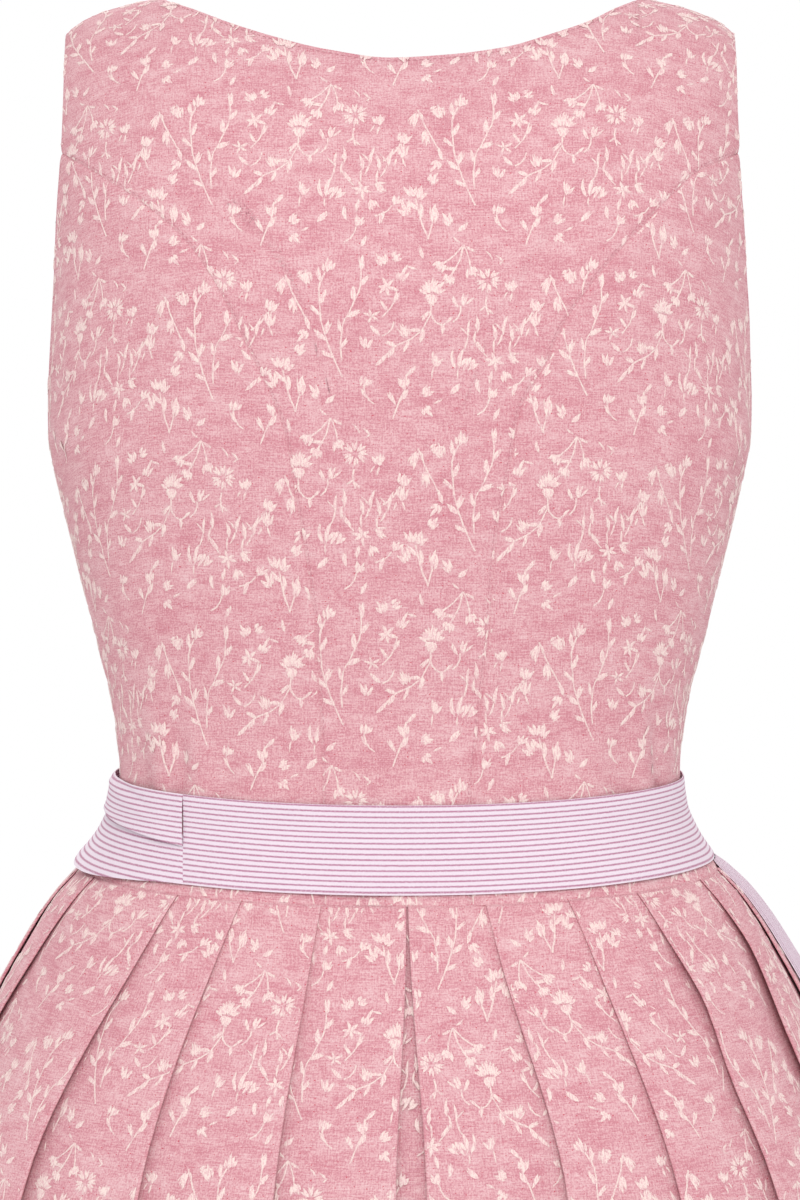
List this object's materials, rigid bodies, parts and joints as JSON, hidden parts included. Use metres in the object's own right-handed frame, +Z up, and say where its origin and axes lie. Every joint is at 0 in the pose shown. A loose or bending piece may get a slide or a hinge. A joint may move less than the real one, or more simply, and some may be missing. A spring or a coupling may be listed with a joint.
{
  "type": "sleeveless dirndl with apron",
  "caption": "Sleeveless dirndl dress of rose jacquard with a scooped back, knife-pleated skirt and a striped apron tied in a bow at the front left, filled out as worn.",
  "frame": {"origin": "midway between the two shoulder straps, at the height where they rest on the wearer's shoulders", "axes": "+Z up along the length of the dress, the wearer faces -Y, the wearer's left is +X"},
  "size_m": [0.6765, 0.5559, 1.0515],
  "materials": {
    "jacquard": "matte linen-cotton jacquard with raised off-white flower sprigs",
    "striped_cotton": "smooth cotton with fine rose-lilac stripes",
    "button": "satin pale buttons"
  },
  "bodies": {
    "root": {"back_center": "jacquard", "back_side_left": "jacquard", "back_side_right": "jacquard", "front_side_left": "jacquard", "front_side_right": "jacquard", "front_left": "jacquard", "front_right": "jacquard", "front_placket": "jacquard", "skirt_back": "jacquard", "skirt_front_left": "jacquard", "skirt_front_right": "jacquard", "apron_panel": "striped_cotton", "apron_band": "striped_cotton", "apron_tie_back": "striped_cotton", "apron_tie_front": "striped_cotton", "bow_knot": "striped_cotton", "bow_loop_outer": "striped_cotton", "bow_loop_inner": "striped_cotton", "bow_tail_outer": "striped_cotton", "bow_tail_inner": "striped_cotton", "button_1": "button", "button_2": "button", "button_3": "button", "button_4": "button", "button_5": "button", "button_6": "button"}
  },
  "joints": []
}
